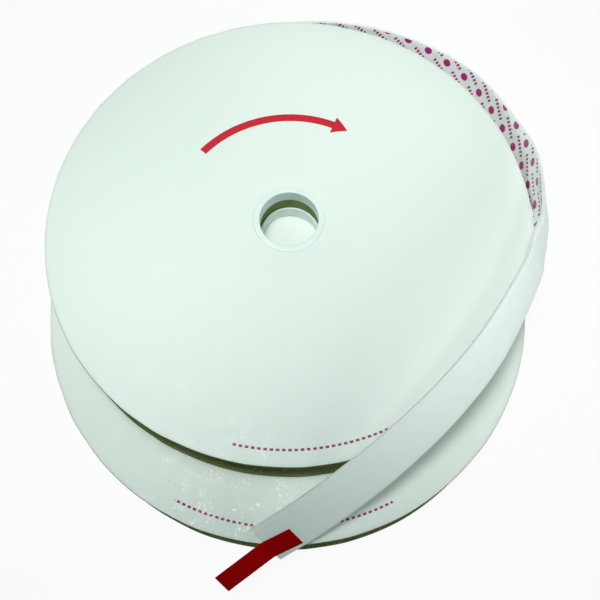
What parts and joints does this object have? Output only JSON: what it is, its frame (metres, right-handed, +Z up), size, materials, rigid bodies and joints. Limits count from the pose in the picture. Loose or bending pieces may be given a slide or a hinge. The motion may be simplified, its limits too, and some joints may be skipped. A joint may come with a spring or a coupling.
{
  "type": "hook and loop tape roll",
  "caption": "Flanged reels of hook and loop tape lying one on the other; the upper reel turns and its adhesive-backed tape trails off in a leaning arch to a fold-up pull tab.",
  "frame": {"origin": "on the floor under the stack, midway between the two hub axes", "axes": "+Z up along the hub axes, +Y towards the back of the stack, where the upper reel is shifted, +X to the right in the picture"},
  "size_m": [0.3095, 0.3653, 0.1079],
  "materials": {
    "greyboard": "matt recycled greyboard, olive grey-brown",
    "facing_paper": "glossy laminated white paper with a faint green tint",
    "bush_plastic": "moulded off-white plastic, soft gloss",
    "core_board": "spiral-wound chipboard, matt",
    "tape_fabric": "white woven fastener tape with a short pile and plain edges",
    "liner_paper": "silicone-coated release liner with a plain printed pattern",
    "tab_film": "dark red ribbed film"
  },
  "bodies": {
    "lower_reel": {"lower_top_board": "greyboard", "lower_top_facing": "facing_paper", "lower_top_bush": "bush_plastic", "lower_bottom_board": "greyboard", "lower_bottom_facing": "facing_paper", "lower_bottom_bush": "bush_plastic", "lower_core_tube": "core_board", "lower_tape_pack": "tape_fabric", "lower_outer_turns": "tape_fabric"},
    "upper_reel": {"upper_top_board": "greyboard", "upper_top_facing": "facing_paper", "upper_top_bush": "bush_plastic", "upper_bottom_board": "greyboard", "upper_bottom_facing": "facing_paper", "upper_bottom_bush": "bush_plastic", "upper_core_tube": "core_board", "upper_tape_pack": "tape_fabric", "upper_outer_turns": "tape_fabric", "tail_tape": "tape_fabric", "tail_liner": "liner_paper", "end_tab_stuck": "tab_film"},
    "end_tab": {"end_tab_free": "tab_film"}
  },
  "joints": [
    {"name": "upper_reel_spin", "type": "hinge", "parent": "lower_reel", "child": "upper_reel", "pos_m": [0.0012, 0.01865, 0.03415], "axis": [0, 0, 1], "continuous": true},
    {"name": "tab_fold", "type": "hinge", "parent": "upper_reel", "child": "end_tab", "pos_m": [-0.01337, -0.17068, 0.03542], "axis": [-0.6464, 0.6078, 0.4612], "range_deg": [-30, 150], "stiffness_Nm_per_rad": 0.001}
  ]
}
